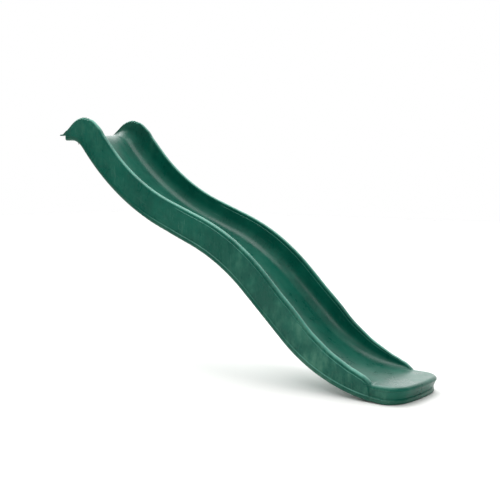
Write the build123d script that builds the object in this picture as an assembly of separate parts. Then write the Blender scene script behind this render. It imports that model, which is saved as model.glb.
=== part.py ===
from build123d import *
import math
import os

# A one-piece hollow wave slide with its platform screws, water spray fitting and hole plugs.
# X runs downhill from the platform edge, Y across, Z up.
# The origin is on the lip's underside, at the platform edge and in the middle of the width.

# ---- driving dimensions, millimetres and degrees ----
platform_height = 1200.0      # ground to the underside of the lip
lip_length = 65.0             # how far the lip reaches over the platform
lip_thickness = 8.0           # two skins pressed into one
lip_corner = 22.0             # corner radius of the lip, seen from above
skin = 2.4                    # moulded wall
inner_width = 346.0           # between the inner faces of the side walls
wall_width = 27.0             # outside to inside of a side wall
floor_depth = 36.0            # chute floor to belly, both skins and the air between them
corner_radius = 48.0          # chute floor to side wall
rim_radius = 11.0             # the rounding along both sides of each side wall's top
foot_band_height = 23.0       # the stepped band along the bottom edge
foot_band_proud = 11.0        # how far the band stands out
belly_channel_width = 190.0   # stiffening channel along the underside
belly_channel_depth = 9.0
channel_setback = 110.0       # from the bends at both ends of the belly

entry_flat = 43.0             # level floor before the first bend
crest_radius = 160.0
first_slope = 47.5            # steepest part of the upper wave
first_straight = 52.0
dip_radius = 1445.0
easy_slope = 20.5             # the gentle middle
middle_straight = 211.0
hump_radius = 1120.0
second_slope = 42.0           # the lower wave
landing_radius = 655.0
run_out_flat = 168.0          # level floor from the last bend to the nose
run_out_thickness = 76.0
nose_bow = 25.0               # how far the nose bulges forward in the middle
nose_corner = 85.0
run_out_edge_radius = 9.0
grip_radius = 9.0             # the scallops along the crest of each side wall
grip_pitch = 21.0
grip_count = 6
grip_first = 128.0            # from the rim's lower end to the first scallop, along the rim
grip_depth = 4.0
# height of a wall's rim above the floor, by the distance along the floor from the platform edge...
rim_rise = [(-22, 4), (0, 22), (41, 52), (85, 95), (123, 118), (163, 129), (245, 131), (440, 122)]
rim_rise += [(690, 115)]
# ...and by the distance before the run-out
rim_fall = [(927, 117), (647, 112), (397, 101), (237, 80), (107, 57), (50, 46), (20, 32), (-14, -4)]

screw_spacing = 160.0         # across the lip, centre to centre
screw_diameter = 8.0          # outside of the thread
screw_neck_reduction = 0.6    # radial, the plain neck under the head against the thread
screw_thread_start = 0.4      # below the lip
screw_length = 60.0           # under the head
screw_point = 9.0
screw_tip_radius = 0.8
screw_head_flats = 13.0
screw_head_height = 5.5
screw_head_chamfer = 0.6
screw_hole_clearance = 0.5    # radial, in the lip and the cap seat
washer_outer = 24.0
washer_thickness = 2.0
cap_seat_outer = 30.0
cap_seat_floor = 2.0
cap_seat_rim = 2.0
cap_lid_wall = 1.6
cap_lid_gap = 1.5             # head to the inside of the lid
loose_fit = 0.25              # radial, around small pieces that drop into a seat

fitting_from_edge = 30.0      # the water spray fitting, from the platform edge
stem_diameter = 21.0          # outside of its thread
stem_bore = 13.0
nozzle_head_diameter = 36.0
nozzle_head_height = 5.0
nozzle_dome_radius = 3.5
spray_hole = 2.6
spray_hole_count = 5
spray_circle = 9.0
spray_fan = 120.0             # degrees, from the first hole to the last
spray_tilt = 35.0             # degrees off the fitting's axis
seal_outer = 33.0
seal_thickness = 2.0
pinch_thickness = 8.0         # floor left between the seal and the backing washer
pinch_pocket_radius = 24.0    # pocket in the belly around the fitting
pocket_wall = 4.0
backing_outer = 38.0
backing_thickness = 2.0
nut_flats = 30.0
nut_height = 9.0
thread_gap = 0.1              # radial, between a thread and what screws onto it
thread_engagement = 12.0      # how deep the stem sits in the hose connector
connector_outer = 29.0
connector_length = 24.0
connector_grips = 12
connector_grip_radius = 2.2
connector_grip_offset = 1.0   # the notches' centres lie this far outside the collar
connector_foot = 3.0          # the collar's plain ring below the notches
spigot_diameter = 16.0
spigot_bore = 10.0
spigot_length = 23.0
spigot_neck_diameter = 12.6
spigot_chamfer = 1.2
flat_seal_thickness = 2.5
ring_section = 2.4
ring_from_tip = 6.0
ring_squeeze = 0.7            # how far the ring is pressed into its groove
stem_past_nut = 16.0

vent_hole = 14.0
vent_across = 120.0
plug_head = 20.0
plug_head_thickness = 2.0
plug_barb = 0.6
plug_taper = 1.0              # radial, at the barb's end
drain_hole = 12.0
drain_from_nose = 128.0
drain_pocket_depth = 4.0
drain_pocket_clearance = 1.5

# ---- sizes that follow ----
half_inner = inner_width / 2
half_outer = half_inner + wall_width
half_band = half_outer + foot_band_proud
lip_top = lip_thickness
ground = -platform_height
run_out_top = ground + run_out_thickness
slope_changes = [(-first_slope, crest_radius), (first_slope - easy_slope, dip_radius)]
slope_changes += [(easy_slope - second_slope, hump_radius), (second_slope, landing_radius)]


def fall_of_bends():
    heading, fall = 0.0, 0.0
    for turn, radius in slope_changes:
        after = heading + turn
        fall += radius * abs(math.cos(math.radians(after)) - math.cos(math.radians(heading)))
        heading = after
    return fall


def sine(angle):
    return math.sin(math.radians(angle))


# the last straight takes up whatever height is left
height_left = lip_top - run_out_top - fall_of_bends()
height_left -= first_straight * sine(first_slope) + middle_straight * sine(easy_slope)
last_straight = height_left / sine(second_slope)
straights = [first_straight, middle_straight, last_straight, run_out_flat]
floor_legs = [(turn, radius, run) for (turn, radius), run in zip(slope_changes, straights)]
leg_lengths = [radius * math.radians(abs(turn)) + run for turn, radius, run in floor_legs]
floor_length = entry_flat + sum(leg_lengths)
rim_heights = rim_rise + [(floor_length - run_out_flat - before, height) for before, height in rim_fall]


def floor_at(distance):
    """Place and heading on the floor line, by the distance along it from the platform edge."""
    spot, heading = Vector(0, lip_top), 0.0
    left = distance - entry_flat
    spot += Vector(entry_flat + min(left, 0), 0)
    for turn, radius, run in floor_legs:
        if left <= 0:
            break
        arc = radius * math.radians(abs(turn))
        part = turn * min(left / arc, 1)
        side = radius if turn > 0 else -radius
        centre = spot + Vector(0, side).rotate(Axis.Z, heading)
        spot = centre + (spot - centre).rotate(Axis.Z, part)
        heading += part
        left -= arc
        step = min(max(left, 0), run)
        spot += Vector(step, 0).rotate(Axis.Z, heading)
        left -= run
    return spot, heading


def above_floor(distance, height):
    spot, heading = floor_at(distance)
    return spot + Vector(0, height).rotate(Axis.Z, heading)


def chute_line(lift, start_x, end_x, legs=floor_legs):
    """Edges of the floor line moved by lift along its normal, from start_x to end_x."""
    edges = [Line((start_x, lip_top + lift), (entry_flat, lip_top + lift))]
    for number, (turn, radius, run) in enumerate(legs):
        along = edges[-1] % 1
        moved = radius - lift if turn > 0 else radius + lift
        bend = JernArc(start=edges[-1] @ 1, tangent=along, radius=moved, arc_size=turn)
        edges.append(bend)
        ahead = (bend % 1) * run
        if number == len(legs) - 1:
            ahead = Vector(end_x - (bend @ 1).X, 0)
        edges.append(Line(bend @ 1, (bend @ 1) + ahead))
    return edges


def belly_line(lift, start_x, end_x):
    """The belly follows the floor, then lands on the ground in one wide bend."""
    drop = lift - floor_depth
    upper = chute_line(drop, start_x, end_x)[:7]
    fall = (upper[-1] @ 1).Y - (ground + lift)
    radius = fall / (1 - math.cos(math.radians(second_slope)))
    bend = JernArc(start=upper[-1] @ 1, tangent=upper[-1] % 1, radius=radius, arc_size=second_slope)
    return upper + [bend, Line(bend @ 1, (end_x, (bend @ 1).Y))]


def closed_face(edges, *corners):
    """Closes a chain of edges over the given corner points, standing in the XZ plane."""
    loop = list(edges)
    spots = [loop[-1] @ 1, *[Vector(*c) for c in corners], loop[0] @ 0]
    for one, two in zip(spots, spots[1:]):
        if (two - one).length > 1e-6:
            loop.append(Line(one, two))
    return Plane.XZ * make_face(loop)


def top_rim(piece):
    return piece.faces().sort_by(Axis.Z)[-1].edges()


def slab(face, half_width, middle_y=0.0):
    return Pos(0, middle_y, 0) * extrude(face, half_width, both=True)


sky = platform_height          # anything safely above the crest
nose_x = floor_at(floor_length)[0].X
reach = nose_x + nose_bow      # past the nose
behind = -2 * lip_length       # past the lip
run_out_start = floor_at(floor_length - run_out_flat)[0].X


# ---- the hollow chute ----
def nose_plan(inset, half_width, start_x):
    """Plan of everything from start_x to the bowed nose."""
    side = half_width - inset
    shoulder = nose_x - inset - nose_bow
    nose = ThreePointArc((shoulder, -side), (nose_x - inset, 0), (shoulder, side))
    sides = Polyline((shoulder, side), (start_x, side), (start_x, -side), (shoulder, -side))
    plan = make_face([nose, *sides.edges()])
    return fillet([v for v in plan.vertices() if v.X > run_out_start], nose_corner - inset)


def under_rim(lift, drop):
    """Face between a side wall's rim, moved by lift and then lowered by drop, and far below."""
    drop = Vector(0, drop)
    rim = Spline(*[above_floor(distance, height + lift) - drop for distance, height in rim_heights])
    deep = ground - sky
    return closed_face([rim], ((rim @ 1).X, deep), (behind, deep), (behind, (rim @ 0).Y))


def moulding(lift, starts):
    """Side walls, floor and run-out block; a negative lift gives the air inside a skin that thick."""
    wall_middle = half_inner + wall_width / 2
    shape = slab(under_rim(lift, rim_radius), half_inner - lift) - scoop(-lift)
    for side in (-1, 1):
        wall = slab(under_rim(lift, 0), wall_width / 2 + lift, side * wall_middle)
        rim_edges = [edge for edge in wall.edges() if edge.geom_type == GeomType.BSPLINE]
        shape += fillet(rim_edges, rim_radius + lift)
    run_out = between(nose_plan(-lift, half_outer, run_out_start), ground - skin, run_out_top + lift)
    nose_edges = [edge for edge in top_rim(run_out) if (edge @ 0.5).X > run_out_start + 1]
    shape += fillet(nose_edges, run_out_edge_radius + lift)
    above_belly = closed_face(belly_line(-lift, -lift, reach), (reach, sky), *starts)
    return shape & slab(above_belly, half_outer + lift)


def scoop(grow):
    """What the chute is scooped out with or, grown by the skin, what the air inside keeps clear of."""
    line = chute_line(-grow, behind, reach)
    tool = slab(closed_face(line, (reach, sky), (behind, sky)), half_inner + grow)
    bottom = []
    for edge in tool.edges():
        middle = edge @ 0.5
        beside = abs(abs(middle.Y) - half_inner - grow) < 0.01
        if beside and min(Vertex(middle.X, middle.Z, 0).distance_to(part) for part in line) < 0.1:
            bottom.append(edge)
    return fillet(bottom, corner_radius + grow)


def under_belly(lift, half_width, from_x, to_x):
    """Everything lower than the belly line moved up by lift, between two stations."""
    deep = ground - sky
    below = slab(closed_face(belly_line(lift, 0, reach), (reach, deep), (0, deep)), half_width)
    stretch = Pos((from_x + to_x) / 2, 0, ground / 2) * Box(to_x - from_x, 2 * half_width, 2 * sky)
    return below & stretch


def upright(face, base, height):
    return Pos(0, 0, base) * extrude(face, height)


def between(face, low, high):
    return upright(face, low, high - low)


channel_ends = (entry_flat + channel_setback, run_out_start - channel_setback)
seat = Pos(fitting_from_edge, 0, lip_top)      # on the level floor above the pocket for the spray fitting


def rod(radius, low, high):
    """A round bar along Z between two heights."""
    return Pos(0, 0, low) * Cylinder(radius, high - low, align=(Align.CENTER, Align.CENTER, Align.MIN))


def ring(outer, inner, low, high):
    return rod(outer, low, high) - rod(inner, low - 1, high + 1)


screw_spots = GridLocations(0, screw_spacing, 1, 2)
screw_base = Pos(-lip_length / 2, 0, lip_top)
vent_spot = Pos(entry_flat / 2, vent_across, lip_top - floor_depth)
drain_spot = Pos(nose_x - drain_from_nose, 0, ground)
drain_pocket_radius = plug_head / 2 + drain_pocket_clearance


def outer_shape():
    ramp_start = floor_at(rim_heights[0][0])[0].X
    band = slab(closed_face(belly_line(0, 0, reach), (reach, sky), (0, sky)), half_band)
    band &= under_belly(foot_band_height, half_band, 0, reach)
    band &= between(nose_plan(0, half_band, 0), ground - skin, lip_top)
    lip = make_face(Polyline((0, -half_outer), (0, half_outer), (-lip_length, half_outer),
                             (-lip_length, -half_outer), close=True))
    lip = fillet([v for v in lip.vertices() if v.X < -1], lip_corner)
    return moulding(0, [(ramp_start, sky), (ramp_start, 0), (0, 0)]) + band + between(lip, 0, lip_top)


def air_inside():
    block = moulding(-skin, [(skin, sky)])
    block -= under_belly(belly_channel_depth + skin, belly_channel_width / 2 + skin,
                         channel_ends[0] - skin, channel_ends[1] + skin)
    block -= seat * rod(pinch_pocket_radius + pocket_wall, -2 * floor_depth, floor_depth)
    return block - drain_spot * rod(drain_pocket_radius + skin, -skin, drain_pocket_depth + skin)


def finger_grips():
    """Round notches across both side walls, along the top of the crest."""
    rim = Spline(*[above_floor(distance, height) for distance, height in rim_heights])
    notches = []
    for number in range(grip_count):
        along = grip_first + number * grip_pitch
        rise = rim.tangent_at(along, PositionMode.LENGTH).rotate(Axis.Z, 90) * (grip_radius - grip_depth)
        spot = rim.position_at(along, PositionMode.LENGTH) + rise
        notches.append(Pos(spot.X, 0, spot.Y) * Rot(90, 0, 0) * Cylinder(grip_radius, 4 * half_outer))
    return notches


def slide_body():
    body = outer_shape() - air_inside()
    body -= under_belly(belly_channel_depth, belly_channel_width / 2, *channel_ends)
    body -= seat * rod(pinch_pocket_radius, -2 * floor_depth, -pinch_thickness)
    body -= seat * rod(stem_diameter / 2 + loose_fit, -floor_depth, floor_depth)
    for spot in screw_spots:
        body -= screw_base * spot * rod(screw_diameter / 2 + screw_hole_clearance, -2 * lip_thickness, 1)
    body -= vent_spot * rod(vent_hole / 2, -skin, 2 * skin)
    body -= drain_spot * rod(drain_pocket_radius, -skin, drain_pocket_depth)
    body -= drain_spot * rod(drain_hole / 2, -skin, drain_pocket_depth + 2 * skin)
    for notch in finger_grips():
        body -= notch
    return body


# ---- platform screws, their washers and two-part caps; each stacks on the one below ----
washer_low = cap_seat_floor
head_low = washer_low + washer_thickness
head_top = head_low + screw_head_height
lid_inside = head_top + cap_lid_gap


def at_screws(piece):
    return Compound([screw_base * spot * piece for spot in screw_spots])


def hexagon(flats, low, high):
    return between(RegularPolygon(flats / 2, 6, major_radius=False), low, high)


def platform_screw():
    thread_top = -lip_thickness - screw_thread_start
    point_top = head_low - screw_length + screw_point
    head = hexagon(screw_head_flats, head_low, head_top)
    head = chamfer(top_rim(head), screw_head_chamfer)
    neck = rod(screw_diameter / 2 - screw_neck_reduction, thread_top, head_low)
    thread = rod(screw_diameter / 2, point_top, thread_top)
    point = Rot(180, 0, 0) * Cone(screw_diameter / 2, screw_tip_radius, screw_point)
    return head + neck + thread + Pos(0, 0, point_top - screw_point / 2) * point


def screw_washer():
    return ring(washer_outer / 2, screw_diameter / 2 + loose_fit, washer_low, head_low)


def cap_seat():
    rim_top = washer_low + cap_seat_rim
    floor = ring(cap_seat_outer / 2, screw_diameter / 2 + screw_hole_clearance, 0, washer_low)
    return floor + ring(cap_seat_outer / 2, washer_outer / 2 + loose_fit, washer_low, rim_top)


def cap_lid():
    inner = cap_seat_outer / 2 + loose_fit
    cup = rod(inner + cap_lid_wall, 0, lid_inside + cap_lid_wall)
    hollow = rod(inner, -1, lid_inside)
    hollow = fillet(top_rim(hollow), (lid_inside - cap_lid_wall) / 2)
    return fillet(top_rim(cup), lid_inside / 2) - hollow


# ---- water spray fitting, upright in the level entry; heights are from the chute floor ----
head_seat = seal_thickness
nut_top = -pinch_thickness - backing_thickness
nut_low = nut_top - nut_height
stem_low = nut_low - stem_past_nut
flat_seal_low = stem_low - flat_seal_thickness
connector_top = stem_low + thread_engagement
connector_low = connector_top - connector_length
spigot_tip = connector_low - spigot_length
stem_room = stem_diameter / 2 + loose_fit


def spray_nozzle():
    head = rod(nozzle_head_diameter / 2, head_seat, head_seat + nozzle_head_height)
    nozzle = fillet(top_rim(head), nozzle_dome_radius) + rod(stem_diameter / 2, stem_low, head_seat)
    nozzle -= rod(stem_bore / 2, stem_low - 1, head_seat + nozzle_head_height / 2)
    jet = Rot(0, spray_tilt, 0) * rod(spray_hole / 2, -nozzle_head_height, 3 * nozzle_head_height)
    for number in range(spray_hole_count):
        turn = spray_fan * (number / (spray_hole_count - 1) - 0.5)
        nozzle -= Rot(0, 0, turn) * Pos(spray_circle / 2, 0, head_seat) * jet
    return nozzle


def nozzle_nut():
    bore = rod(stem_diameter / 2 + thread_gap, nut_low - 1, nut_top + 1)
    return hexagon(nut_flats, nut_low, nut_top) - bore


def hose_connector():
    bore = stem_diameter / 2 + thread_gap
    collar = rod(connector_outer / 2, connector_low, connector_top)
    grips = PolarLocations(connector_outer / 2 + connector_grip_offset, connector_grips)
    for grip in grips:
        collar -= grip * rod(connector_grip_radius, connector_low + connector_foot, connector_top + 1)
    collar -= rod(bore, flat_seal_low, connector_top + 1)
    spigot = rod(spigot_diameter / 2, spigot_tip, connector_low)
    spigot = chamfer(spigot.faces().sort_by(Axis.Z)[0].edges(), spigot_chamfer)
    return collar + spigot - ring_groove() - rod(spigot_bore / 2, spigot_tip - 1, flat_seal_low + 1)


def ring_groove():
    low = spigot_tip + ring_from_tip - ring_section / 2
    return ring(spigot_diameter, spigot_neck_diameter / 2, low, low + ring_section)


def spigot_ring():
    centre = spigot_neck_diameter / 2 + ring_section / 2 - ring_squeeze
    squeezed = Pos(0, 0, spigot_tip + ring_from_tip) * Torus(centre, ring_section / 2)
    return squeezed & ring(spigot_diameter / 2, spigot_neck_diameter / 2, spigot_tip, connector_low)


# ---- push-in plugs for the moulding's blow hole and its drain hole ----
def push_plug(hole, wall):
    """Head below the wall, stem in the hole and a barb above; the hole starts at z = 0."""
    head = rod(plug_head / 2, -plug_head_thickness, 0)
    stem = rod(hole / 2, 0, wall)
    barb = Pos(0, 0, wall + skin) * Cone(hole / 2 + plug_barb, hole / 2 - plug_taper, 2 * skin)
    return head + stem + barb


nodes = {
    "slide_body": slide_body(),
    "platform_screws": at_screws(platform_screw()),
    "screw_washers": at_screws(screw_washer()),
    "cap_seats": at_screws(cap_seat()),
    "cap_lids": at_screws(cap_lid()),
    "spray_nozzle": seat * spray_nozzle(),
    "nozzle_seal": seat * ring(seal_outer / 2, stem_room, 0, seal_thickness),
    "backing_washer": seat * ring(backing_outer / 2, stem_room, nut_top, -pinch_thickness),
    "nozzle_nut": seat * nozzle_nut(),
    "hose_connector": seat * hose_connector(),
    "connector_seal": seat * ring(stem_diameter / 2, stem_bore / 2, flat_seal_low, stem_low),
    "spigot_ring": seat * spigot_ring(),
    "vent_plug": vent_spot * push_plug(vent_hole, skin),
    "drain_plug": drain_spot * Pos(0, 0, drain_pocket_depth) * push_plug(drain_hole, skin),
}

os.makedirs("parts", exist_ok=True)
for name, shape in nodes.items():
    export_step(shape, f"parts/{name}.step")
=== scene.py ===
import math

import bmesh
import bpy
import numpy as np
from mathutils import Matrix, Vector


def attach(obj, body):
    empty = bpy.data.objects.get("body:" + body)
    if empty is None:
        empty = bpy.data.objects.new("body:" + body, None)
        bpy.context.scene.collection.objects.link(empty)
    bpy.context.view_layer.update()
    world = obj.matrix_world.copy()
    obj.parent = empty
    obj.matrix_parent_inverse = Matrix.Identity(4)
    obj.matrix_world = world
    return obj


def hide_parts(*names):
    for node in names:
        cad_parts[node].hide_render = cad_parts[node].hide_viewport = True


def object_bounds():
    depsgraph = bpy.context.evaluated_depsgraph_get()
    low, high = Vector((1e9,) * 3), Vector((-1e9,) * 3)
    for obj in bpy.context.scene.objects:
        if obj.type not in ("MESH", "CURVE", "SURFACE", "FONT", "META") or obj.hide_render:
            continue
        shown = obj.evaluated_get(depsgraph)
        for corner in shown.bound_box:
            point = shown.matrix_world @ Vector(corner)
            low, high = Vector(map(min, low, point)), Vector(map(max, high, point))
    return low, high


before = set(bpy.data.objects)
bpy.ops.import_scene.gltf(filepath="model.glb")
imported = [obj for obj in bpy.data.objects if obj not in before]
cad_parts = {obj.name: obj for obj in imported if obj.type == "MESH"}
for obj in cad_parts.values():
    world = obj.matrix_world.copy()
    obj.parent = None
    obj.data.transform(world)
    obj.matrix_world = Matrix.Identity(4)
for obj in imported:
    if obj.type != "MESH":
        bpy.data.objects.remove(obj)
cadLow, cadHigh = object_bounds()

scene = bpy.context.scene
scene.view_settings.view_transform = "Standard"
groundLevel = cadLow.z
mm = 0.001
print("frame loaded with", len(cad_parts), "nodes")


# helpers used all through the script
def hexToLinear(code):
    channels = [int(code[i:i + 2], 16) / 255 for i in (1, 3, 5)]
    return [c / 12.92 if c <= 0.04045 else ((c + 0.055) / 1.055) ** 2.4 for c in channels] + [1.0]


def smoothStep(value, start, end):
    t = min(max((value - start) / (end - start), 0.0), 1.0)
    return t * t * (3 - 2 * t)


def linkObject(name, data):
    made = bpy.data.objects.new(name, data)
    scene.collection.objects.link(made)
    return made


def addNode(tree, kind, values=None):
    # a value that is a socket is linked, any other is set, on the node itself or on its input of that name
    node = tree.nodes.new(kind)
    for key, value in (values or {}).items():
        if isinstance(key, str) and hasattr(node, key):
            setattr(node, key, value)
        elif isinstance(value, bpy.types.NodeSocket):
            tree.links.new(value, node.inputs[key])
        else:
            node.inputs[key].default_value = value
    return node


def newTree(name, inputs):
    # a Geometry Nodes tree with named inputs and one geometry output
    tree = bpy.data.node_groups.new(name, "GeometryNodeTree")
    tree.interface.new_socket("Geometry", in_out="INPUT", socket_type="NodeSocketGeometry")
    for label, kind in inputs:
        tree.interface.new_socket(label, in_out="INPUT", socket_type="NodeSocket" + kind)
    tree.interface.new_socket("Geometry", in_out="OUTPUT", socket_type="NodeSocketGeometry")
    return tree, addNode(tree, "NodeGroupInput").outputs


def endTree(tree, geometry, finish):
    smooth = addNode(tree, "GeometryNodeSetShadeSmooth", {"Geometry": geometry})
    real = addNode(tree, "GeometryNodeRealizeInstances", {"Geometry": smooth.outputs[0]})
    coated = addNode(tree, "GeometryNodeSetMaterial", {"Geometry": real.outputs[0], "Material": finish})
    addNode(tree, "NodeGroupOutput", {"Geometry": coated.outputs[0]})


def runTree(obj, tree, values):
    # sets the named inputs, then keeps the result as a plain mesh
    modifier = obj.modifiers.new(tree.name, "NODES")
    modifier.node_group = tree
    for item in tree.interface.items_tree:
        if item.in_out == "INPUT" and item.name in values:
            modifier[item.identifier] = values[item.name]
    bakeModifiers(obj)


def bakeModifiers(obj):
    result = obj.evaluated_get(bpy.context.evaluated_depsgraph_get())
    mesh = bpy.data.meshes.new_from_object(result)
    obj.modifiers.clear()
    obj.data = mesh
    mesh.name = obj.name


def faceOutwards(mesh):
    work = bmesh.new()
    work.from_mesh(mesh)
    bmesh.ops.remove_doubles(work, verts=work.verts, dist=1e-6)
    bmesh.ops.dissolve_degenerate(work, edges=work.edges, dist=1e-7)
    bmesh.ops.recalc_face_normals(work, faces=work.faces)
    work.to_mesh(mesh)
    work.free()


# ---- materials ----
def newMaterial(name):
    material = bpy.data.materials.new(name)
    material.use_nodes = True
    tree = material.node_tree
    tree.nodes.clear()
    shader = addNode(tree, "ShaderNodeBsdfPrincipled")
    addNode(tree, "ShaderNodeOutputMaterial", {"Surface": shader.outputs[0]})
    return material, tree, shader


# finishes of the small fittings: two tones in soft patches under a fine grain; sizes are in millimetres
plastic = {"patchEdge": (0.35, 0.65), "patchDetail": 3.0, "grainStretch": (1, 1, 1), "grainRough": 0.6,
           "grainStrength": 0.6}
fittingLooks = {
    # fine satin lids and plugs in the slide's own green
    "injectionMouldedPolyethylene": {
        **plastic, "colour": "#0b4a3c", "paler": "#155a49", "patchSize": 9.0, "grainSize": 0.7,
        "grainDepth": 0.04, "roughness": (0.37, 0.48), "ior": 1.52},
    # black with a greyish bloom from the glass fibre in it
    "glassFilledNylon": {
        **plastic, "colour": "#141415", "paler": "#26272a", "patchSize": 4.0, "grainSize": 0.5,
        "grainDepth": 0.05, "roughness": (0.45, 0.56), "ior": 1.53},
    # dark grey, slippery and a little shinier
    "mouldedAcetal": {
        **plastic, "colour": "#3c4145", "paler": "#4c5257", "patchSize": 6.0, "grainSize": 0.6,
        "grainDepth": 0.03, "roughness": (0.31, 0.42), "ior": 1.48},
    # dull black seals with a chalky bloom
    "epdmRubber": {
        **plastic, "colour": "#0d0d0d", "paler": "#232322", "patchSize": 3.0, "grainSize": 0.4,
        "grainDepth": 0.06, "roughness": (0.73, 0.84), "ior": 1.5},
    # bright plating with cloudy tarnish and the fine lines of a turned or stamped blank
    "zincPlatedSteel": {
        "colour": "#b9bbb9", "paler": "#8f908b", "patchSize": 2.5, "patchEdge": (0.3, 0.7),
        "patchDetail": 4.0, "grainStretch": (1, 1, 14), "grainSize": 2.0, "grainRough": 0.5,
        "grainStrength": 0.4, "grainDepth": 0.03, "roughness": (0.24, 0.46), "metallic": 1.0},
}


def fittingFinish(name, look):
    material, tree, shader = newMaterial(name)
    place = addNode(tree, "ShaderNodeTexCoord").outputs["Object"]
    patches = addNode(tree, "ShaderNodeTexNoise", {
        "Vector": place, "Scale": 1 / (look["patchSize"] * mm),
        "Detail": look["patchDetail"]}).outputs["Fac"]
    low, high = look["patchEdge"]
    mask = addNode(tree, "ShaderNodeMapRange", {
        "interpolation_type": "SMOOTHSTEP", "Value": patches, "From Min": low, "From Max": high}).outputs[0]
    first, second = hexToLinear(look["colour"]), hexToLinear(look["paler"])
    colour = addNode(tree, "ShaderNodeMix", {"data_type": "RGBA", 0: mask, 6: first, 7: second}).outputs[2]
    smooth, rough = look["roughness"]
    gloss = addNode(tree, "ShaderNodeMapRange", {
        "interpolation_type": "SMOOTHSTEP", "Value": mask, "To Min": smooth, "To Max": rough}).outputs[0]
    drawn = addNode(tree, "ShaderNodeMapping", {0: place, "Scale": look["grainStretch"]}).outputs[0]
    grain = addNode(tree, "ShaderNodeTexNoise", {
        "Vector": drawn, "Scale": 1 / (look["grainSize"] * mm),
        "Roughness": look["grainRough"]}).outputs["Fac"]
    bump = addNode(tree, "ShaderNodeBump", {
        "Strength": look["grainStrength"], "Distance": look["grainDepth"] * mm, "Height": grain})
    tree.links.new(colour, shader.inputs["Base Color"])
    tree.links.new(gloss, shader.inputs["Roughness"])
    tree.links.new(bump.outputs[0], shader.inputs["Normal"])
    if "ior" in look:
        shader.inputs["IOR"].default_value = look["ior"]
    if "metallic" in look:
        shader.inputs["Metallic"].default_value = look["metallic"]
    return material


finishes = {name: fittingFinish(name, look) for name, look in fittingLooks.items()}

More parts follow.
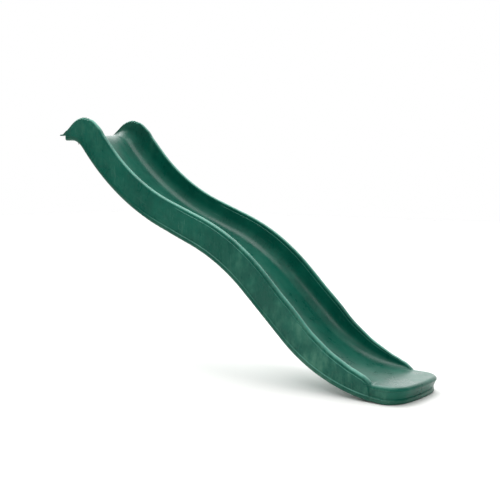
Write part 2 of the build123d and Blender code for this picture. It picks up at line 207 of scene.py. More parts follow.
chuteLook = {
    "deep": "#015243",
    "colour": "#025c4b",       # the plastic itself
    "paleCloudAndCrestHighlight": "#4d8570",        # pale drifts where pigment and powder mixed unevenly, and near the crest a painted highlight
    "scuff": "#6f9f90",        # fine scratches
    "footTint": "#2b5544",     # the bottom band, dulled by the ground
    "paintedRimHighlight": "#5fa795",        # painted highlight: the rims' upward faces painted a pale mint, as if lit from above
    "shine": 0.24,
    "ior": 1.52,
    "grainDepth": 0.07,        # millimetres
    "cloudShare": 0.55,        # of clouds and drifts in the tone
    "driftShare": 0.45,
    # stretch, turn, size in millimetres, detail and roughness of each pattern
    "patterns": {
        "clouds": ((1, 1, 1), (0, 0, 0), 160.0, 5.0, 0.62),
        "drifts": ((1, 1, 0.45), (0, 0.7, 0), 30.0, 4.0, 0.6),
        "slanting": ((1, 1, 0.04), (0, 0.9, 0), 2.94118, 3.0, 0.65),  # hairlines on the walls
        "riding": ((0.03, 1, 1), (0, 0, 0), 3.33333, 3.0, 0.6),       # and along the ride on the floor
        "wear": ((1, 1, 1), (0, 0, 0), 71.4286, 3.0, 0.5),
        "peel": ((1, 1, 1), (0, 0, 0), 5.26316, 2.0, 0.5),
        "ripple": ((1, 1, 1), (0, 0, 0), 45.4545, 1.0, 0.5),
    },
    # what each mask reads, where it starts and ends, and what it gives at the two; places are in metres
    "masks": {
        "outside": ("across", 0.19, 0.1985, 0.0, 1.0),
        "low": ("height", 0.07, -0.02, 0.0, 1.0),
        "cloudsAndCrestHighlightMask": ("tone", 0.46, 0.7, 0.0, 1.0),
        "lowerRun": ("along", 1.0, 1.7, 0.0, 1.0),
        "entry": ("along", 0.42, 0.2, 0.0, 1.0),
        "overFloor": ("height", 0.02, 0.06, 0.0, 1.0),
        "fresh": ("clouds", 0.4, 0.62, 0.0, 1.0),
        "wallLines": ("slanting", 0.6, 0.72, 0.0, 1.0),
        "floorLines": ("riding", 0.62, 0.74, 0.0, 1.0),
        "worn": ("wear", 0.42, 0.62, 0.0, 1.0),
        "dirt": ("clouds", 0.3, 0.7, 0.1, 0.5),
        "rims": ("across", 0.168, 0.176, 0.0, 1.0),
        # painted highlight: where the rims face upwards, read from the surface normal
        "facingUp": ("upward", 0.42, 0.86, 0.0, 1.0),
        "rimHighlightPatches": ("clouds", 0.3, 0.6, 0.4, 0.8),
        "rideEnd": ("along", 2.28, 2.35, 1.0, 0.25),
        "waxy": ("tone", 0.35, 0.65, 0.25, 0.37),
    },
    # name, operation and what it works on
    "sums": [
        ("downhill", "MULTIPLY", "outside", "lowerRun"),
        # crest: painted highlight near the top of the slide, laid on with the pale clouds; the clouds
        # elsewhere are the plastic's own tone
        ("crestHighlight", "MULTIPLY", "entry", "overFloor"),
        ("cloudsAndCrestHighlight", "MULTIPLY", "outside", "low"),
        ("cloudsAndCrestHighlight", "MULTIPLY_ADD", "cloudsAndCrestHighlight", 0.12, 0.05),
        ("cloudsAndCrestHighlight", "MULTIPLY_ADD", "downhill", 0.72, "cloudsAndCrestHighlight"),
        ("cloudsAndCrestHighlight", "MULTIPLY_ADD", "crestHighlight", 0.3, "cloudsAndCrestHighlight"),
        ("cloudsAndCrestHighlightMask", "MULTIPLY", "cloudsAndCrestHighlightMask", "cloudsAndCrestHighlight"),
        ("wallLines", "MULTIPLY", "wallLines", "outside"),
        ("floorLines", "MULTIPLY", "floorLines", 0.6),
        ("scuffs", "MAXIMUM", "wallLines", "floorLines"),
        ("scuffs", "MULTIPLY", "scuffs", "worn"),
        ("scuffTint", "MULTIPLY", "scuffs", 0.5),
        ("grime", "MULTIPLY", "footBand", "dirt"),
        # painted highlight on the rims' upward faces, in soft patches, weakening towards the run-out's end
        ("paintedRimHighlightMask", "MULTIPLY", "rims", "facingUp"),
        ("paintedRimHighlightMask", "MULTIPLY", "paintedRimHighlightMask", "rimHighlightPatches"),
        ("paintedRimHighlightMask", "MULTIPLY", "paintedRimHighlightMask", "rideEnd"),
        ("gloss", "MULTIPLY_ADD", "scuffs", 0.22, "waxy"),
        ("relief", "MULTIPLY_ADD", "scuffs", -0.15, "peel"),
        ("relief", "MULTIPLY_ADD", "ripple", 5.0, "relief"),
    ],
    # coats of colour over the deep one, each through its mask
    "coats": [("fresh", "colour"), ("cloudsAndCrestHighlightMask", "paleCloudAndCrestHighlight"), ("scuffTint", "scuff"), ("grime", "footTint"),
              ("paintedRimHighlightMask", "paintedRimHighlight")],
}


def rotomouldedPolyethylene(look):
    # thick waxy plastic: cloudy drifts of paler pigment, hairline scuffs and a faint orange peel, with
    # painted highlights on the rims' upward faces and on the walls at the crest
    material, tree, shader = newMaterial("rotomouldedPolyethylene")
    place = addNode(tree, "ShaderNodeTexCoord").outputs["Object"]
    laid = addNode(tree, "ShaderNodeAttribute", {"attribute_name": "mouldPlace"}).outputs["Vector"]
    split = addNode(tree, "ShaderNodeSeparateXYZ", {0: laid}).outputs
    normal = addNode(tree, "ShaderNodeNewGeometry").outputs["Normal"]
    found = {
        "along": split[0],
        "across": addNode(tree, "ShaderNodeMath", {"operation": "ABSOLUTE", 0: split[1]}).outputs[0],
        "height": split[2],
        "upward": addNode(tree, "ShaderNodeSeparateXYZ", {0: normal}).outputs[2],
        "footBand": addNode(tree, "ShaderNodeAttribute", {"attribute_name": "footBand"}).outputs["Fac"],
    }
    for name, (stretch, turn, size, detail, roughness) in look["patterns"].items():
        source = laid if name == "riding" else place
        drawn = addNode(tree, "ShaderNodeMapping", {
            0: source, "Scale": stretch, "Rotation": turn}).outputs[0]
        found[name] = addNode(tree, "ShaderNodeTexNoise", {
            "Vector": drawn, "Scale": 1 / (size * mm), "Detail": detail,
            "Roughness": roughness}).outputs["Fac"]
    tone = addNode(tree, "ShaderNodeMath", {
        "operation": "MULTIPLY", 0: found["clouds"], 1: look["cloudShare"]}).outputs[0]
    found["tone"] = addNode(tree, "ShaderNodeMath", {
        "operation": "MULTIPLY_ADD", 0: found["drifts"], 1: look["driftShare"], 2: tone}).outputs[0]
    for name, (source, *ends) in look["masks"].items():
        found[name] = addNode(tree, "ShaderNodeMapRange", {
            "interpolation_type": "SMOOTHSTEP", **dict(enumerate((found[source], *ends)))}).outputs[0]
    for name, operation, *terms in look["sums"]:
        terms = [found.get(term, term) for term in terms]
        found[name] = addNode(tree, "ShaderNodeMath", {
            "operation": operation, **dict(enumerate(terms))}).outputs[0]
    colour = hexToLinear(look["deep"])
    for mask, coat in look["coats"]:
        colour = addNode(tree, "ShaderNodeMix", {
            "data_type": "RGBA", 0: found[mask], 6: colour, 7: hexToLinear(look[coat])}).outputs[2]
    bump = addNode(tree, "ShaderNodeBump", {
        "Strength": 1.0, "Distance": look["grainDepth"] * mm, "Height": found["relief"]})
    tree.links.new(colour, shader.inputs["Base Color"])
    tree.links.new(found["gloss"], shader.inputs["Roughness"])
    tree.links.new(bump.outputs[0], shader.inputs["Normal"])
    shader.inputs["IOR"].default_value = look["ior"]
    shader.inputs["Specular IOR Level"].default_value = look["shine"]
    return material


finishes["rotomouldedPolyethylene"] = rotomouldedPolyethylene(chuteLook)
print("materials made:", len(finishes))

# ---- camera, light and floor ----
studio = {
    "cameraPlace": (3.8971, -3.4157, -0.2277),
    "cameraTurn": 0.6748,    # radians left of straight across
    "cameraDip": 0.0841,     # radians below level
    "cameraReach": 60,
    "lens": 62.97,
    "floorColour": "#f4f4f2",
    "floorRoughness": 0.7,
    "floorReach": 14.0,
    "backdropSide": (-0.62, 0.78, 0.1),
    # start, end and the light at the two: towards the backdrop, and upwards from the room to the ceiling
    "backdropGlow": (0.05, 0.75, 0.0, 2.0),
    "ceilingGlow": (0.25, 0.95, 0.14, 0.7),
    # name, place, aim, width, height, watts
    "lamps": [("frontSoftbox", (3.4, -3.2, 2.4), (1.0, 0.0, -0.5), 2.4, 1.6, 54),
              ("topSoftbox", (0.9, 0.2, 2.6), (1.0, 0.0, -0.6), 2.2, 1.7, 44),
              ("rimSoftbox", (-2.4, 0.7, 2.0), (0.9, 0.0, -0.4), 2.4, 1.8, 24)],
}


def makeSky():
    # a white backdrop behind the slide, light from above and a darker room in front
    world = bpy.data.worlds.new("studioSky")
    world.use_nodes = True
    sky = world.node_tree
    sky.nodes.clear()
    towards = addNode(sky, "ShaderNodeTexCoord").outputs["Generated"]
    facing = addNode(sky, "ShaderNodeVectorMath", {
        "operation": "DOT_PRODUCT", 0: towards, 1: studio["backdropSide"]}).outputs["Value"]
    upwards = addNode(sky, "ShaderNodeSeparateXYZ", {0: towards}).outputs[2]
    glows = [addNode(sky, "ShaderNodeMapRange", {
        "interpolation_type": "SMOOTHSTEP", **dict(enumerate((source, *ends)))}).outputs[0]
             for source, ends in ((facing, studio["backdropGlow"]), (upwards, studio["ceilingGlow"]))]
    light = addNode(sky, "ShaderNodeMath", {"operation": "ADD", 0: glows[0], 1: glows[1]}).outputs[0]
    lighting = addNode(sky, "ShaderNodeBackground", {"Color": (1, 1, 1, 1), "Strength": light}).outputs[0]
    seen = addNode(sky, "ShaderNodeBackground", {"Color": (1, 1, 1, 1), "Strength": 1.0}).outputs[0]
    direct = addNode(sky, "ShaderNodeLightPath").outputs["Is Camera Ray"]
    both = addNode(sky, "ShaderNodeMixShader", {0: direct, 1: lighting, 2: seen}).outputs[0]
    addNode(sky, "ShaderNodeOutputWorld", {"Surface": both})
    scene.world = world


def makeStudio():
    camera = linkObject("camera", bpy.data.cameras.new("camera"))
    camera.data.lens = studio["lens"]
    camera.data.clip_end = studio["cameraReach"]
    camera.location = studio["cameraPlace"]
    camera.rotation_euler = (math.pi / 2 - studio["cameraDip"], 0, studio["cameraTurn"])
    bpy.context.scene.camera = camera

    for name, place, aim, width, height, watts in studio["lamps"]:
        lamp = linkObject(name, bpy.data.lights.new(name, "AREA"))
        lamp.data.shape = "RECTANGLE"
        lamp.data.size = width
        lamp.data.size_y = height
        lamp.data.energy = watts
        lamp.location = place
        lamp.rotation_euler = (Vector(place) - Vector(aim)).to_track_quat("Z", "Y").to_euler()

    far = studio["floorReach"]
    mesh = bpy.data.meshes.new("studioFloor")
    corners = [(x * far, y * far, groundLevel) for x, y in ((-1, -1), (1, -1), (1, 1), (-1, 1))]
    mesh.from_pydata(corners, [], [(0, 1, 2, 3)])
    material, tree, shader = newMaterial("paintedStudioFloor")
    shader.inputs["Base Color"].default_value = hexToLinear(studio["floorColour"])
    shader.inputs["Roughness"].default_value = studio["floorRoughness"]
    mesh.materials.append(material)
    linkObject("studioFloor", mesh)


makeSky()
makeStudio()
print("camera, lights and floor are set")

# ---- the chute: one hollow moulding, drawn straight and then laid along its wave ----
chute = {  # millimetres and degrees
    "halfWidth": 199.5,        # outer face at the rim
    "wallWidth": 26.5,
    "wallDrawn": 115.0,        # the inner section is drawn for this wall height, then stretched
    "fullSection": 62.0,       # a section lower than this is drawn smaller
    "lipLength": 65.0,
    "lipThickness": 8.0,
    "lipCorner": 22.0,
    "lipEdge": 2.5,
    "floorDepth": 36.0,
    "stepLength": 3.0,         # rounding of the step where the belly starts behind the lip
    "stepRounding": 2.5,
    "runOutThickness": 76.0,
    "entryFlat": 43.0,
    # turn, radius and length of the straight after it
    "bends": [(-47.5, 160.0, 52.0), (27.0, 1445.0, 211.0), (-21.5, 1120.0, 307.276), (42.0, 655.0, 168.0)],
    # rim heights over the floor: forwards from the platform's edge, and back from the run-out's start
    "rimRise": [(-22, 4), (0, 22), (41, 52), (85, 94), (123, 115), (163, 127), (245, 129), (440, 122),
                (690, 115)],
    "rimFall": [(927, 117), (647, 112), (397, 101), (237, 79), (107, 52), (50, 37), (20, 25), (0, 11),
                (-14, 0)],
    "rimStartSlope": 0.5,
    "rimEndSlope": -0.3,
    "floorStrip": 72.0,        # half width of the level strip down the middle
    "dishAngle": 6.0,          # of the strips beside it
    "cornerRadius": 64.0,
    "wallLean": 3.0,
    "rimOutside": 16.0,        # the rim's rounding towards the outside...
    "rimInside": 9.5,          # ...and towards the chute
    "rimDrop": 13.0,           # how far down the outside rounding reaches
    "rimBead": 16.0,           # height of the rounded band along the rim
    # below the band a groove and a ledge: height against the band's foot, and share of the ledge outwards
    "ledgeSteps": [(2.0, 0.0), (0.5, -0.08), (-0.2, -0.35), (-0.9, -0.35), (-1.5, 0.55), (-2.2, 0.95),
                   (-4.0, 1.0)],
    "ledge": 2.8,              # the wall below the band stands out by this
    "ledgeFrom": 900.0,
    "ledgeBlend": 160.0,
    "wallEnd": 10.0,           # the walls' outer faces end this far into the run-out...
    "wallEndSweep": 0.00014,   # ...and curve back by this times their height cubed...
    "wallEndFade": 9.0,        # ...over this length
    "sideHollow": 2.4,         # the run-out's sides fall back by this instead
    "draft": 3.2,              # how much wider the wall is at its foot
    "bandHeight": 22.0,
    "bandProud": 5.4,
    "bandLeast": 0.2,          # share of that at the top of the slide
    "bandGrows": (450.0, 1150.0),
    "bandShoulder": [(0.2, 0.0), (0.8, 0.9), (1.0, 2.4)],  # share outwards, and drop below the band's top
    "soleRadius": 9.0,         # rounding under the foot band
    "noseBow": 25.0,
    "noseCorner": 95.0,
    "noseLean": 15.0,          # the nose's foot is this far behind its top
    "gripWidth": 7.7,
    "gripDepth": 5.6,
    "gripRound": 0.9,          # power of the scallops' round
    "gripPitch": 21.0,
    "gripCount": 6,
    "gripFirst": 128.0,        # along the rim from its lower end
    "gripSearch": 300.0,       # they all lie within this distance
    "channelDepth": 9.0,
    "channelSide": (82.0, 97.0),
    "channelEnds": (153.0, 1866.9),  # along X
    "channelBlend": 20.0,
    "screwAcross": 80.0,
    "ventAcross": 120.0,
    "drainFromNose": 128.0,
    "fittingFromEdge": 30.0,
    # the blank is drawn at these: after the lip's edge, at the belly's step, and (start, end, spacing)
    "lipStations": (0, 0.2, 0.6, 1.2, 2, 3, 4.5, 6.5, 9, 12, 16, 21, 26, 32, 38),
    "stepStations": (0.0, 0.7, 1.6, 3.2),
    "runStations": [(-24, -2, 2.0), (6, 44, 4.0), (46, 138, 1.3), (140, 260, 6.0), (266, 2180, 9.0),
                    (2184, 2270, 5.0), (2272, 2362, 1.6)],
    "noseStations": (2366, 6.0),  # start and spacing, up to the nose
}


def floorLine(step=3.0):
    # rows of distance, x, z and heading along the floor, from the lip's edge to the nose
    x, z, heading, distance = -chute["lipLength"], chute["lipThickness"], 0.0, -chute["lipLength"]
    runs = [(0.0, chute["lipLength"] + chute["entryFlat"])]
    for turn, radius, run in chute["bends"]:
        runs += [(math.radians(turn), radius), (0.0, run)]
    rows = []
    for turn, size in runs:
        length = abs(turn) * size or size
        count = round(length / step)
        for _ in range(count):
            rows.append((distance, x, z, heading))
            middle = heading + turn / count / 2
            chord = 2 * size * math.sin(abs(turn) / count / 2) if turn else length / count
            x += chord * math.cos(middle)
            z += chord * math.sin(middle)
            heading += turn / count
            distance += length / count
    rows.append((distance, x, z, heading))
    return np.array(rows)


line = floorLine()
tip = line[-1, 0]
runOutStart = tip - chute["bends"][-1][2]


def wavePlace(distance, height=0.0):
    x, z, heading = [float(np.interp(distance, line[:, 0], line[:, i])) for i in (1, 2, 3)]
    return x - height * math.sin(heading), z + height * math.cos(heading)


rimPoints = chute["rimRise"] + [(runOutStart - before, height) for before, height in chute["rimFall"]]
rimAt, rimTall = np.array(rimPoints, float).T
rimSlope = np.gradient(rimTall, rimAt)
rimSlope[-1] = chute["rimEndSlope"]


def plainRim(distance):
    # a smooth curve through the rim's points
    if distance <= rimAt[0]:
        return max(0.0, rimTall[0] + (distance - rimAt[0]) * chute["rimStartSlope"])
    if distance >= rimAt[-1]:
        return 0.0
    i = int(np.searchsorted(rimAt, distance)) - 1
    gap = rimAt[i + 1] - rimAt[i]
    t = (distance - rimAt[i]) / gap
    start = rimTall[i] + t * gap * rimSlope[i]
    end = rimTall[i + 1] - (1 - t) * gap * rimSlope[i + 1]
    eased = t * t * (3 - 2 * t)
    return max(float(start * (1 - eased) + end * eased), 0.0)


def gripPlaces():
    probe = np.arange(rimAt[0], chute["gripSearch"], 0.5)
    spots = np.array([wavePlace(d, plainRim(d)) for d in probe])
    run = np.concatenate([[0], np.cumsum(np.hypot(*np.diff(spots, axis=0).T))])
    wanted = chute["gripFirst"] + chute["gripPitch"] * np.arange(chute["gripCount"])
    return list(zip(np.interp(wanted, run, probe), np.interp(wanted, run, np.gradient(run, probe))))


grips = gripPlaces()


def gripNotch(distance):
    depth = 0.0
    for centre, stretch in grips:
        away = (distance - centre) * stretch / chute["gripWidth"]
        depth += chute["gripDepth"] * max(0.0, 1 - away * away) ** chute["gripRound"]
    return depth


def bellyDepth(distance):
    # below the floor; the underside lands on the ground in one wide bend
    if distance <= 0:
        return chute["lipThickness"]
    step = max(0.0, 1 - distance / chute["stepLength"])
    depth = chute["floorDepth"] - chute["stepRounding"] * step ** 2
    turn, radius, run = chute["bends"][-1]
    slope = math.radians(turn)
    bendStart = tip - run - radius * slope
    if distance <= bendStart:
        return depth
    startX, startZ = wavePlace(bendStart, -depth)
    ground = line[-1, 2] - chute["runOutThickness"]
    bend = (startZ - ground) / (1 - math.cos(slope))
    centreX, centreZ = startX + bend * math.sin(slope), ground + bend
    x, z = wavePlace(distance)
    heading = float(np.interp(distance, line[:, 0], line[:, 3]))
    downX, downZ = math.sin(heading), -math.cos(heading)
    if x + chute["runOutThickness"] * downX >= centreX:
        return min((ground - z) / downZ, chute["runOutThickness"] * 1.2)
    along = downX * (x - centreX) + downZ * (z - centreZ)
    away = (x - centreX) ** 2 + (z - centreZ) ** 2 - bend ** 2
    return -along + math.sqrt(along ** 2 - away)


def roundedArc(centreY, centreZ, wide, tall, start, end, count):
    angles = [math.radians(start + (end - start) * i / (count - 1)) for i in range(count)]
    return [(centreY + wide * math.cos(a), centreZ + tall * math.sin(a)) for a in angles]


def ledgeShare(distance):
    return smoothStep(distance, chute["ledgeFrom"], chute["ledgeFrom"] + chute["ledgeBlend"])


def insideShape(top, notch, ledge):
    # (across, height) from the middle of the floor up a side wall to the middle of its top
    drawn = chute["wallDrawn"]
    wallTop = chute["halfWidth"] - chute["wallWidth"]
    lean, dish = math.radians(chute["wallLean"]), math.radians(chute["dishAngle"])
    radius, strip, rim = chute["cornerRadius"], chute["floorStrip"], chute["rimInside"]
    beadFoot = drawn - chute["rimBead"]
    cornerY = wallTop - ledge - (beadFoot - radius) * math.tan(lean) - radius
    cornerZ = (cornerY - strip) * math.tan(dish) + radius / math.cos(dish)
    points = [(strip * t, 0.0) for t in (0, 0.3, 0.6, 0.85)]
    points += [(strip - 3, 0.05), (strip + 3, 0.4)]  # eases the fold beside the strip
    corner = roundedArc(cornerY, cornerZ, radius, radius, -90 + chute["dishAngle"], -chute["wallLean"], 12)
    aside = (corner[0][0] - strip) * 0.55
    points.append((strip + aside, aside * math.tan(dish)))
    points += corner
    footY, footZ = corner[-1]
    riseY, riseZ = wallTop - ledge - footY, beadFoot - 6 - footZ
    points += [(footY + riseY * t, footZ + riseZ * t) for t in (0.35, 0.7, 1)]
    points += [(wallTop - share * ledge, beadFoot + rise) for rise, share in reversed(chute["ledgeSteps"])]
    points += roundedArc(wallTop + rim, drawn - rim, rim, rim, 180, 90, 8)
    points.append((chute["halfWidth"] - chute["rimOutside"], drawn))
    shares = [(y, z / drawn) for y, z in points]
    return [(y, share * top - notch * smoothStep(share, 0.84, 0.99)) for y, share in shares]


def outsideShape(distance, top, depth, notch=0.0, nose=0.0):
    # (distance outside the rim's outer face, height) from the middle of a wall's top down to the belly
    fit = min(1.0, (top + depth) / chute["fullSection"])
    band = chute["bandHeight"] * fit
    beadFoot, bandTop = top - chute["rimBead"] * fit, -depth + band
    tall = max(beadFoot - bandTop, 1.0)
    points = roundedArc(-chute["rimOutside"], top - chute["rimDrop"] * fit, chute["rimOutside"],
                        chute["rimDrop"] * fit, 90, 0, 12)
    steps = [(beadFoot + rise * fit, share) for rise, share in chute["ledgeSteps"]]
    high, low = beadFoot - 7 * fit, bandTop + 0.8 * fit
    steps += [(high + (low - high) * i / 11, 1.0) for i in range(12)]
    wallEnd, fade = runOutStart + chute["wallEnd"], chute["wallEndFade"]
    for level, share in steps:
        down = max(beadFoot - level, 0.0) / tall
        end = wallEnd - chute["wallEndSweep"] * max(level - bandTop, 0.0) ** 3
        onWall = 1 - smoothStep(distance, end - fade, end)
        step = chute["ledge"] * onWall - chute["sideHollow"] * (1 - onWall)
        away = step * ledgeShare(distance) * share + chute["draft"] * down * onWall
        points.append((away * fit * (1 - 0.5 * nose) - nose * chute["noseLean"] * down, level))
    foot, least = points[-1][0], chute["bandLeast"]
    proud = chute["bandProud"] * (least + (1 - least) * smoothStep(distance, *chute["bandGrows"]))
    proud += (chute["sideHollow"] + chute["ledge"]) * smoothStep(distance, wallEnd - fade, wallEnd)
    proud *= (1 - 0.6 * nose) if distance > 0 else 0.0
    sole = min(chute["soleRadius"], 0.4 * band)
    points += [(foot + share * proud, bandTop - drop * fit) for share, drop in chute["bandShoulder"]]
    points += roundedArc(foot + proud - sole, -depth + sole, sole, sole, 0, -90, 6)
    return [(away, height - notch * smoothStep(height, beadFoot + 1.5, top - 1)) for away, height in points]


bandPoints = 8  # of outsideShape, counted from the belly


def lipWidth(distance):
    into = chute["lipCorner"] - (distance + chute["lipLength"])
    if into <= 0:
        return chute["halfWidth"]
    return chute["halfWidth"] - chute["lipCorner"] + math.sqrt(max(chute["lipCorner"] ** 2 - into ** 2, 0.0))


def lipRounding(distance):
    edge = chute["lipEdge"]
    into = max(edge - distance - chute["lipLength"], 0.0)
    return edge - math.sqrt(max(edge ** 2 - into ** 2, 0.0))


def noseOutline(count):
    # plan of the run-out's end from one side to the other: place and outward direction
    width, corner = chute["halfWidth"], chute["noseCorner"]
    bow = (width ** 2 + chute["noseBow"] ** 2) / (2 * chute["noseBow"])
    bowX, cornerY = tip - bow, width - corner
    cornerX = bowX + math.sqrt((bow - corner) ** 2 - cornerY ** 2)
    meet = math.atan2(cornerY, cornerX - bowX)
    cornerRun, bowRun = corner * (math.pi / 2 - meet), bow * meet
    points = []
    for i in range(count):
        t = 2 * i / (count - 1) - 1
        run = (1 - abs(t)) * (cornerRun + bowRun)
        angle = math.pi / 2 - run / corner if run < cornerRun else meet - (run - cornerRun) / bow
        x, y, radius = (cornerX, cornerY, corner) if run < cornerRun else (bowX, 0.0, bow)
        side = -1 if t < 0 else 1
        points.append((x + radius * math.cos(angle), side * (y + radius * math.sin(angle)),
                       math.cos(angle), side * math.sin(angle)))
    return points, cornerX


class Blank:
    # collects welded points and faces of the straight blank, in distance, across and height
    def __init__(self):
        self.spots, self.known, self.faces, self.bands = [], {}, [], []

    def point(self, spot, band=0.0):
        key = tuple(round(c * 50) for c in spot)
        if key not in self.known:
            self.known[key] = len(self.spots)
            self.spots.append(spot)
            self.bands.append(band)
        return self.known[key]

    def face(self, corners):
        kept = [c for i, c in enumerate(corners) if c != corners[i - 1]]
        if len(kept) > 2 and len(set(kept)) == len(kept):
            self.faces.append(kept)

    def grid(self, rows, bandFrom=None):
        numbers = []
        for row in rows:
            numbers.append([self.point(spot, float(bandFrom is not None and i >= bandFrom))
                            for i, spot in enumerate(row)])
        for one, two in zip(numbers, numbers[1:]):
            for i in range(len(one) - 1):
                self.face([one[i], one[i + 1], two[i + 1], two[i]])


def stationList(last):
    places = [d - chute["lipLength"] for d in chute["lipStations"]] + list(chute["stepStations"])
    for start, end, spacing in chute["runStations"]:
        places += list(np.arange(start, end, spacing))
    start, spacing = chute["noseStations"]
    return sorted(places) + list(np.arange(start, last - 2, spacing)) + [last]


def straightBlank():
    blank = Blank()
    columns = 2 * len(insideShape(100, 0, 0)) - 1
    outline, last = noseOutline(columns)
    channelFrom, channelTo = np.interp(chute["channelEnds"], line[:, 1], line[:, 0])
    blend = chute["channelBlend"]
    bellyShares = [1 - i / 16 for i in range(17)]
    rows = {"inside": [], "right": [], "left": [], "belly": []}
    for distance in stationList(last):
        drop, notch = lipRounding(distance), gripNotch(distance)
        top, depth = plainRim(distance) - drop, bellyDepth(distance) - drop
        width = lipWidth(distance)
        squeeze = width / chute["halfWidth"]
        ledge = chute["ledge"] * ledgeShare(distance)
        half = [(y * squeeze, h - drop) for y, h in insideShape(top + drop, notch, ledge)]
        rows["inside"].append([(distance, -y, h) for y, h in reversed(half[1:])]
                              + [(distance, y, h) for y, h in half])
        edge = [(width + away, h) for away, h in outsideShape(distance, top, depth, notch)]
        edge[0] = half[-1]
        rows["right"].append([(distance, y, h) for y, h in edge])
        rows["left"].append([(distance, -y, h) for y, h in edge])
        lift = chute["channelDepth"] * smoothStep(distance, channelFrom, channelFrom + blend)
        lift *= 1 - smoothStep(distance, channelTo - blend, channelTo)
        side, floor = edge[-1]
        under = [(side * share, floor + lift * (1 - smoothStep(side * share, *chute["channelSide"])))
                 for share in bellyShares]
        rows["belly"].append([(distance, y, h) for y, h in under]
                             + [(distance, -y, h) for y, h in reversed(under[:-1])])
    blank.grid(rows["inside"])
    blank.grid(rows["belly"])
    bandFrom = len(rows["right"][0]) - bandPoints
    blank.grid(rows["right"], bandFrom)
    blank.grid(rows["left"], bandFrom)
    # the lip's front edge
    ring = rows["right"][0] + rows["belly"][0][1:] + rows["left"][0][::-1][1:] + rows["inside"][0][1:-1]
    blank.face([blank.point(spot) for spot in ring])
    # the nose: side band, top and underside
    band = []
    for x, y, outX, outY in outline:
        shape = outsideShape(last, 0.0, chute["runOutThickness"], nose=smoothStep(outX, 0.0, 1.0))
        band.append([(x + outX * away, y + outY * away, h) for away, h in shape])
    blank.grid(band, bandFrom)
    fan = []
    for t in [i / 14 for i in range(15)]:
        fan.append([tuple(a + (b - a) * t for a, b in zip(start, ring[0]))
                    for start, ring in zip(rows["inside"][-1], band)])
    blank.grid(fan)
    sole = [ring[-1] for ring in band] + rows["belly"][-1][1:-1]
    blank.face([blank.point(spot) for spot in sole])
    return blank


def waveTree():
    # moves every point of the blank to its place along the floor line, square to it
    sockets = [("Floor Line", "Object"), ("Lead", "Float"), ("Finish", "Material")]
    tree, given = newTree("layAlongWave", sockets)
    path = addNode(tree, "GeometryNodeObjectInfo", {"Object": given["Floor Line"]}).outputs["Geometry"]
    flat = addNode(tree, "GeometryNodeInputPosition").outputs[0]
    kept = addNode(tree, "GeometryNodeStoreNamedAttribute", {
        "data_type": "FLOAT_VECTOR", "Name": "mouldPlace", "Geometry": given["Geometry"], "Value": flat})
    split = addNode(tree, "ShaderNodeSeparateXYZ", {0: flat}).outputs
    length = addNode(tree, "ShaderNodeMath", {"operation": "ADD", 0: split[0], 1: given["Lead"]}).outputs[0]
    sample = addNode(tree, "GeometryNodeSampleCurve", {"mode": "LENGTH", "Curves": path, "Length": length})
    side = addNode(tree, "ShaderNodeCombineXYZ", {"Y": split[1]}).outputs[0]
    up = addNode(tree, "ShaderNodeVectorMath", {
        "operation": "CROSS_PRODUCT", 0: sample.outputs["Tangent"], 1: (0, 1, 0)}).outputs[0]
    raised = addNode(tree, "ShaderNodeVectorMath", {
        "operation": "SCALE", 0: up, "Scale": split[2]}).outputs[0]
    place = sample.outputs["Position"]
    for move in (raised, side):
        place = addNode(tree, "ShaderNodeVectorMath", {"operation": "ADD", 0: place, 1: move}).outputs[0]
    laid = addNode(tree, "GeometryNodeSetPosition", {"Geometry": kept.outputs[0], "Position": place})
    endTree(tree, laid.outputs[0], given["Finish"])
    return tree


def turnedMesh(name, outline, around):
    # a solid turned about Z from a closed outline of (radius, height)
    mesh = bpy.data.meshes.new(name)
    work = bmesh.new()
    rings = []
    for radius, height in outline:
        if radius < 1e-6:
            rings.append([work.verts.new((0, 0, height * mm))] * around)
            continue
        angles = [2 * math.pi * i / around for i in range(around)]
        rings.append([work.verts.new((radius * math.cos(a) * mm, radius * math.sin(a) * mm, height * mm))
                      for a in angles])
    for one, two in zip(rings, rings[1:] + rings[:1]):
        for i in range(around):
            corners = [one[i - 1], one[i], two[i], two[i - 1]]
            corners = [c for n, c in enumerate(corners) if c not in corners[:n]]
            if len(corners) > 2:
                work.faces.new(corners)
    bmesh.ops.recalc_face_normals(work, faces=work.faces)
    work.to_mesh(mesh)
    work.free()
    return mesh


def cutWith(obj, cutters):
    # takes the cutters' shapes out of obj in one go
    tool = linkObject("cutters", cutters)
    modifier = obj.modifiers.new("cut", "BOOLEAN")
    modifier.operation = "DIFFERENCE"
    modifier.solver = "MANIFOLD"
    modifier.object = tool
    bakeModifiers(obj)
    bpy.data.objects.remove(tool)


def joinMeshes(name, meshes):
    work = bmesh.new()
    for mesh in meshes:
        work.from_mesh(mesh)
    joined = bpy.data.meshes.new(name)
    work.to_mesh(joined)
    work.free()
    return joined


holes = {  # faces around, and a closed outline of (radius, height) in millimetres
    "fitting": (64, [(0, -60), (24, -60), (24, -8), (10.75, -8), (10.75, 6), (0, 6)]),
    "screw": (48, [(0, -12), (4.5, -12), (4.5, 3), (0, 3)]),
    "vent": (48, [(0, -3), (7, -3), (7, 9), (0, 9)]),
    "drain": (48, [(0, -3), (11.5, -3), (11.5, 4), (6, 4), (6, 12), (0, 12)]),
}


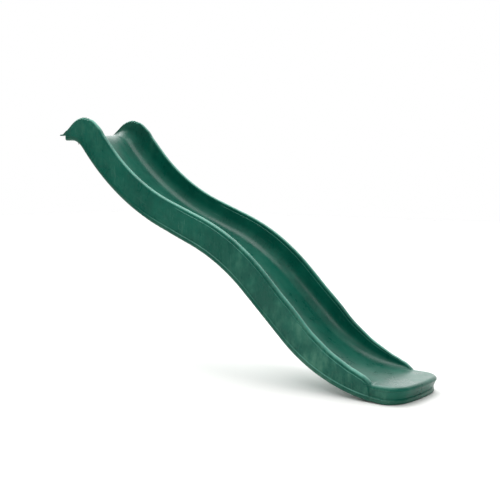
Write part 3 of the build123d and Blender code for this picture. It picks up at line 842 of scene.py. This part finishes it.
def chuteHoles():
    # through the floor for the spray fitting, through the lip for its screws, and blind ones for the plugs
    top, lipMiddle = chute["lipThickness"] * mm, -chute["lipLength"] / 2 * mm
    belly = (chute["lipThickness"] - chute["floorDepth"]) * mm
    places = [("fitting", chute["fittingFromEdge"] * mm, 0, top),
              ("screw", lipMiddle, -chute["screwAcross"] * mm, top),
              ("screw", lipMiddle, chute["screwAcross"] * mm, top),
              ("vent", chute["entryFlat"] / 2 * mm, chute["ventAcross"] * mm, belly),
              ("drain", line[-1, 1] * mm - chute["drainFromNose"] * mm, 0, groundLevel)]
    cutters = []
    for name, *place in places:
        around, outline = holes[name]
        cutters.append(turnedMesh(name, outline, around))
        cutters[-1].transform(Matrix.Translation(place))
    return joinMeshes("chuteHoles", cutters)


def makeChute():
    blank = straightBlank()
    mesh = bpy.data.meshes.new("slideShell")
    mesh.from_pydata([tuple(c * mm for c in spot) for spot in blank.spots], [], blank.faces)
    mesh.attributes.new("footBand", "FLOAT", "POINT").data.foreach_set("value", blank.bands)
    faceOutwards(mesh)
    shell = linkObject("slideShell", mesh)
    curve = bpy.data.curves.new("floorLine", "CURVE")
    curve.dimensions = "3D"
    spline = curve.splines.new("POLY")
    spline.points.add(len(line) - 1)
    for point, (distance, x, z, heading) in zip(spline.points, line):
        point.co = (x * mm, 0, z * mm, 1)
    path = linkObject("floorLine", curve)
    runTree(shell, waveTree(), {"Floor Line": path, "Lead": chute["lipLength"] * mm,
                                "Finish": finishes["rotomouldedPolyethylene"]})
    bpy.data.objects.remove(path)
    # the nose is drawn 0.9 mm deeper than the shell's last station, so the shell is open and stays uncut
    facesUncut = len(shell.data.polygons)
    cutWith(shell, chuteHoles())
    shell.data.set_sharp_from_angle(angle=math.radians(40))
    shell.data.name = "slideShell"
    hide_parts("slide_body")
    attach(shell, "root")
    facesNow = len(shell.data.polygons)
    print("chute laid along its wave, faces:", facesNow, "and gained by its holes:", facesNow - facesUncut)


makeChute()

# ---- finishes for the nodes that keep their own shape ----
nodeFinish = {
    "zincPlatedSteel": ("platform_screws", "screw_washers", "backing_washer"),
    "injectionMouldedPolyethylene": ("cap_seats", "cap_lids", "vent_plug", "drain_plug"),
    "glassFilledNylon": ("spray_nozzle", "nozzle_nut"),
    "mouldedAcetal": ("hose_connector",),
    "epdmRubber": ("nozzle_seal", "connector_seal", "spigot_ring"),
}
for finish, nodes in nodeFinish.items():
    for node in nodes:
        slots = bpy.data.objects[node].data.materials
        if not slots:
            slots.append(finishes[finish])
        for i in range(len(slots)):
            slots[i] = finishes[finish]
print("nodes finished:", sum(len(nodes) for nodes in nodeFinish.values()))
